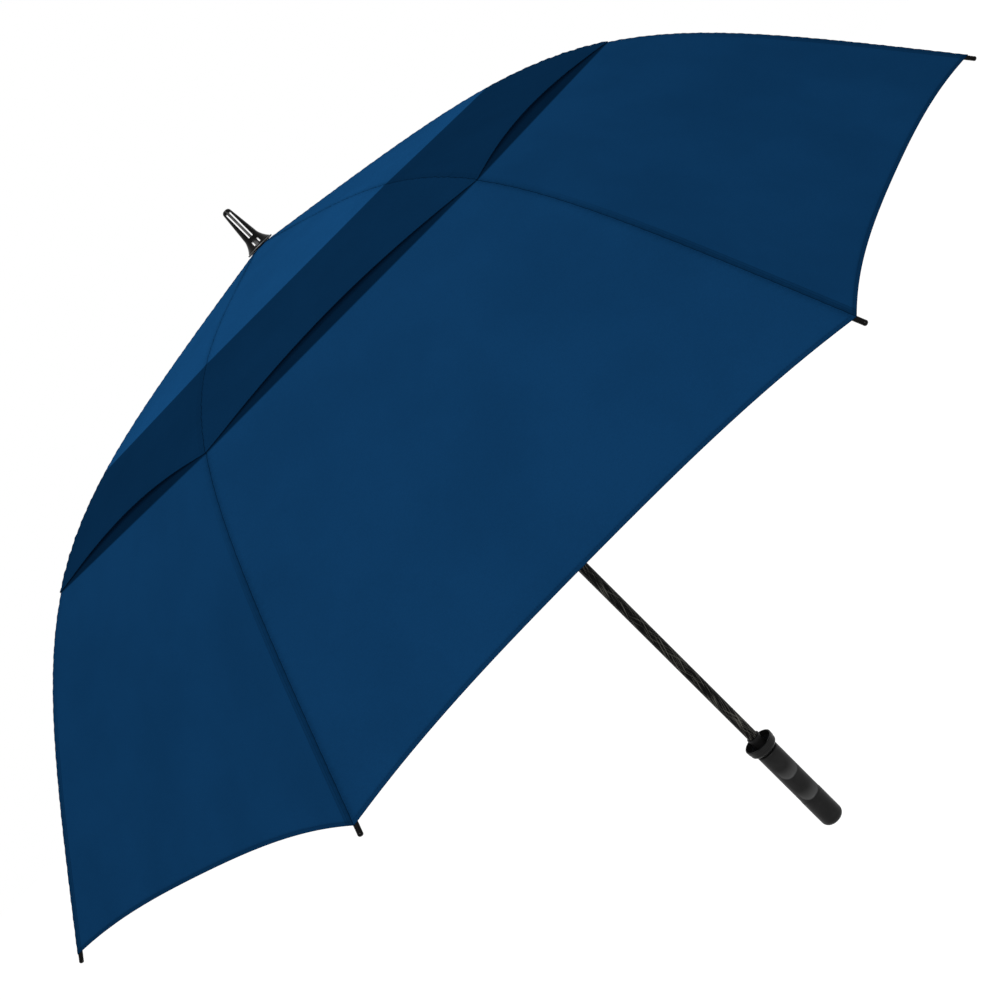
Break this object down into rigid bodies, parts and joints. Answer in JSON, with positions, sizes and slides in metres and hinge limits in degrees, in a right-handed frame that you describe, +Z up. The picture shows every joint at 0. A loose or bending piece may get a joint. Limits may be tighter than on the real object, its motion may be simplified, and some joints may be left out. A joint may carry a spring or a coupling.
{
  "type": "golf umbrella",
  "caption": "Long straight umbrella with a vented double canopy on hinged ribs, a sliding runner, a slotted top spike and a straight rubber grip with finger scoops.",
  "frame": {"origin": "lowest point of the handle's rounded end, on the shaft's axis", "axes": "+Z up the shaft to the top spike; -Y is the side with the finger scoops and the runner's button; ribs stand at 22.5 degrees from +X and every 45 degrees"},
  "size_m": [1.2178, 1.2178, 1.014],
  "materials": {
    "canopy_fabric": "satin",
    "fibreglass_shaft": "gloss",
    "fibreglass_rib": "satin",
    "black_moulding": "satin",
    "gloss_black_plastic": "gloss",
    "rubber_grip": "matte",
    "painted_steel": "satin",
    "plated_wire": "satin",
    "spring_steel": "satin"
  },
  "bodies": {
    "shaft": {"shaft_tube": "fibreglass_shaft", "shaft_plug": "black_moulding", "handle_core": "black_moulding", "handle_grip": "rubber_grip", "handle_cup": "black_moulding", "shaft_sleeve": "black_moulding", "crown": "black_moulding", "crown_ring": "plated_wire", "crown_pin": "plated_wire", "spike_disc": "gloss_black_plastic", "top_spike": "gloss_black_plastic", "canopy_upper": "canopy_fabric", "canopy_lower": "canopy_fabric"},
    "runner": {"runner": "black_moulding", "runner_ring": "plated_wire", "button_spring": "spring_steel"},
    "button": {"runner_button": "gloss_black_plastic"},
    "rib_1": {"rib_inner_1": "fibreglass_rib", "rib_bracket_1": "black_moulding"},
    "rib_end_1": {"rib_outer_1": "fibreglass_rib", "rib_tip_1": "gloss_black_plastic"},
    "stretcher_1": {"stretcher_1": "painted_steel"},
    "rib_2": {"rib_inner_2": "fibreglass_rib", "rib_bracket_2": "black_moulding"},
    "rib_end_2": {"rib_outer_2": "fibreglass_rib", "rib_tip_2": "gloss_black_plastic"},
    "stretcher_2": {"stretcher_2": "painted_steel"},
    "rib_3": {"rib_inner_3": "fibreglass_rib", "rib_bracket_3": "black_moulding"},
    "rib_end_3": {"rib_outer_3": "fibreglass_rib", "rib_tip_3": "gloss_black_plastic"},
    "stretcher_3": {"stretcher_3": "painted_steel"},
    "rib_4": {"rib_inner_4": "fibreglass_rib", "rib_bracket_4": "black_moulding"},
    "rib_end_4": {"rib_outer_4": "fibreglass_rib", "rib_tip_4": "gloss_black_plastic"},
    "stretcher_4": {"stretcher_4": "painted_steel"},
    "rib_5": {"rib_inner_5": "fibreglass_rib", "rib_bracket_5": "black_moulding"},
    "rib_end_5": {"rib_outer_5": "fibreglass_rib", "rib_tip_5": "gloss_black_plastic"},
    "stretcher_5": {"stretcher_5": "painted_steel"},
    "rib_6": {"rib_inner_6": "fibreglass_rib", "rib_bracket_6": "black_moulding"},
    "rib_end_6": {"rib_outer_6": "fibreglass_rib", "rib_tip_6": "gloss_black_plastic"},
    "stretcher_6": {"stretcher_6": "painted_steel"},
    "rib_7": {"rib_inner_7": "fibreglass_rib", "rib_bracket_7": "black_moulding"},
    "rib_end_7": {"rib_outer_7": "fibreglass_rib", "rib_tip_7": "gloss_black_plastic"},
    "stretcher_7": {"stretcher_7": "painted_steel"},
    "rib_8": {"rib_inner_8": "fibreglass_rib", "rib_bracket_8": "black_moulding"},
    "rib_end_8": {"rib_outer_8": "fibreglass_rib", "rib_tip_8": "gloss_black_plastic"},
    "stretcher_8": {"stretcher_8": "painted_steel"}
  },
  "joints": [
    {"name": "canopy_fold", "type": "hinge", "parent": "shaft", "child": "rib_1", "pos_m": [0.01062, 0.0044, 0.9525], "axis": [-0.3827, 0.9239, 0], "range_deg": [0, 76.59], "deforming": ["canopy_upper", "canopy_lower"]},
    {"name": "rib_1_flex", "type": "hinge", "parent": "rib_1", "child": "rib_end_1", "pos_m": [0.3297, 0.13656, 0.87992], "axis": [-0.3827, 0.9239, 0], "range_deg": [-28.99, 0]},
    {"name": "stretcher_1_fold", "type": "hinge", "parent": "rib_1", "child": "stretcher_1", "pos_m": [0.32824, 0.13596, 0.8731], "axis": [-0.3827, 0.9239, 0], "range_deg": [-153.19, 0]},
    {"name": "rib_2_fold", "type": "hinge", "parent": "shaft", "child": "rib_2", "pos_m": [0.0044, 0.01062, 0.9525], "axis": [-0.9239, 0.3827, 0], "range_deg": [0, 76.59]},
    {"name": "rib_2_flex", "type": "hinge", "parent": "rib_2", "child": "rib_end_2", "pos_m": [0.13656, 0.3297, 0.87992], "axis": [-0.9239, 0.3827, 0], "range_deg": [-28.99, 0]},
    {"name": "stretcher_2_fold", "type": "hinge", "parent": "rib_2", "child": "stretcher_2", "pos_m": [0.13596, 0.32824, 0.8731], "axis": [-0.9239, 0.3827, 0], "range_deg": [-153.19, 0]},
    {"name": "rib_3_fold", "type": "hinge", "parent": "shaft", "child": "rib_3", "pos_m": [-0.0044, 0.01062, 0.9525], "axis": [-0.9239, -0.3827, 0], "range_deg": [0, 76.59]},
    {"name": "rib_3_flex", "type": "hinge", "parent": "rib_3", "child": "rib_end_3", "pos_m": [-0.13656, 0.3297, 0.87992], "axis": [-0.9239, -0.3827, 0], "range_deg": [-28.99, 0]},
    {"name": "stretcher_3_fold", "type": "hinge", "parent": "rib_3", "child": "stretcher_3", "pos_m": [-0.13596, 0.32824, 0.8731], "axis": [-0.9239, -0.3827, 0], "range_deg": [-153.19, 0]},
    {"name": "rib_4_fold", "type": "hinge", "parent": "shaft", "child": "rib_4", "pos_m": [-0.01062, 0.0044, 0.9525], "axis": [-0.3827, -0.9239, 0], "range_deg": [0, 76.59]},
    {"name": "rib_4_flex", "type": "hinge", "parent": "rib_4", "child": "rib_end_4", "pos_m": [-0.3297, 0.13656, 0.87992], "axis": [-0.3827, -0.9239, 0], "range_deg": [-28.99, 0]},
    {"name": "stretcher_4_fold", "type": "hinge", "parent": "rib_4", "child": "stretcher_4", "pos_m": [-0.32824, 0.13596, 0.8731], "axis": [-0.3827, -0.9239, 0], "range_deg": [-153.19, 0]},
    {"name": "rib_5_fold", "type": "hinge", "parent": "shaft", "child": "rib_5", "pos_m": [-0.01062, -0.0044, 0.9525], "axis": [0.3827, -0.9239, 0], "range_deg": [0, 76.59]},
    {"name": "rib_5_flex", "type": "hinge", "parent": "rib_5", "child": "rib_end_5", "pos_m": [-0.3297, -0.13656, 0.87992], "axis": [0.3827, -0.9239, 0], "range_deg": [-28.99, 0]},
    {"name": "stretcher_5_fold", "type": "hinge", "parent": "rib_5", "child": "stretcher_5", "pos_m": [-0.32824, -0.13596, 0.8731], "axis": [0.3827, -0.9239, 0], "range_deg": [-153.19, 0]},
    {"name": "rib_6_fold", "type": "hinge", "parent": "shaft", "child": "rib_6", "pos_m": [-0.0044, -0.01062, 0.9525], "axis": [0.9239, -0.3827, 0], "range_deg": [0, 76.59]},
    {"name": "rib_6_flex", "type": "hinge", "parent": "rib_6", "child": "rib_end_6", "pos_m": [-0.13656, -0.3297, 0.87992], "axis": [0.9239, -0.3827, 0], "range_deg": [-28.99, 0]},
    {"name": "stretcher_6_fold", "type": "hinge", "parent": "rib_6", "child": "stretcher_6", "pos_m": [-0.13596, -0.32824, 0.8731], "axis": [0.9239, -0.3827, 0], "range_deg": [-153.19, 0]},
    {"name": "rib_7_fold", "type": "hinge", "parent": "shaft", "child": "rib_7", "pos_m": [0.0044, -0.01062, 0.9525], "axis": [0.9239, 0.3827, 0], "range_deg": [0, 76.59]},
    {"name": "rib_7_flex", "type": "hinge", "parent": "rib_7", "child": "rib_end_7", "pos_m": [0.13656, -0.3297, 0.87992], "axis": [0.9239, 0.3827, 0], "range_deg": [-28.99, 0]},
    {"name": "stretcher_7_fold", "type": "hinge", "parent": "rib_7", "child": "stretcher_7", "pos_m": [0.13596, -0.32824, 0.8731], "axis": [0.9239, 0.3827, 0], "range_deg": [-153.19, 0]},
    {"name": "rib_8_fold", "type": "hinge", "parent": "shaft", "child": "rib_8", "pos_m": [0.01062, -0.0044, 0.9525], "axis": [0.3827, 0.9239, 0], "range_deg": [0, 76.59]},
    {"name": "rib_8_flex", "type": "hinge", "parent": "rib_8", "child": "rib_end_8", "pos_m": [0.3297, -0.13656, 0.87992], "axis": [0.3827, 0.9239, 0], "range_deg": [-28.99, 0]},
    {"name": "stretcher_8_fold", "type": "hinge", "parent": "rib_8", "child": "stretcher_8", "pos_m": [0.32824, -0.13596, 0.8731], "axis": [0.3827, 0.9239, 0], "range_deg": [-153.19, 0]},
    {"name": "runner_travel", "type": "hinge", "parent": "stretcher_1", "child": "runner", "pos_m": [0.01062, 0.0044, 0.79371], "axis": [-0.3827, 0.9239, 0], "range_deg": [0, 76.59]},
    {"name": "button_press", "type": "slide", "parent": "runner", "child": "button", "axis": [0, 1, 0], "range_m": [0, 0.001], "stiffness_N_per_m": 1500, "springref_m": -0.001, "deforming": ["button_spring"]}
  ],
  "couplings": [
    {"joint": "rib_1_flex", "follows": "canopy_fold", "ratio": -0.3784},
    {"joint": "stretcher_1_fold", "follows": "canopy_fold", "ratio": -2},
    {"joint": "rib_2_fold", "follows": "canopy_fold", "ratio": 1},
    {"joint": "rib_2_flex", "follows": "canopy_fold", "ratio": -0.3784},
    {"joint": "stretcher_2_fold", "follows": "canopy_fold", "ratio": -2},
    {"joint": "rib_3_fold", "follows": "canopy_fold", "ratio": 1},
    {"joint": "rib_3_flex", "follows": "canopy_fold", "ratio": -0.3784},
    {"joint": "stretcher_3_fold", "follows": "canopy_fold", "ratio": -2},
    {"joint": "rib_4_fold", "follows": "canopy_fold", "ratio": 1},
    {"joint": "rib_4_flex", "follows": "canopy_fold", "ratio": -0.3784},
    {"joint": "stretcher_4_fold", "follows": "canopy_fold", "ratio": -2},
    {"joint": "rib_5_fold", "follows": "canopy_fold", "ratio": 1},
    {"joint": "rib_5_flex", "follows": "canopy_fold", "ratio": -0.3784},
    {"joint": "stretcher_5_fold", "follows": "canopy_fold", "ratio": -2},
    {"joint": "rib_6_fold", "follows": "canopy_fold", "ratio": 1},
    {"joint": "rib_6_flex", "follows": "canopy_fold", "ratio": -0.3784},
    {"joint": "stretcher_6_fold", "follows": "canopy_fold", "ratio": -2},
    {"joint": "rib_7_fold", "follows": "canopy_fold", "ratio": 1},
    {"joint": "rib_7_flex", "follows": "canopy_fold", "ratio": -0.3784},
    {"joint": "stretcher_7_fold", "follows": "canopy_fold", "ratio": -2},
    {"joint": "rib_8_fold", "follows": "canopy_fold", "ratio": 1},
    {"joint": "rib_8_flex", "follows": "canopy_fold", "ratio": -0.3784},
    {"joint": "stretcher_8_fold", "follows": "canopy_fold", "ratio": -2},
    {"joint": "runner_travel", "follows": "canopy_fold", "ratio": 1}
  ]
}
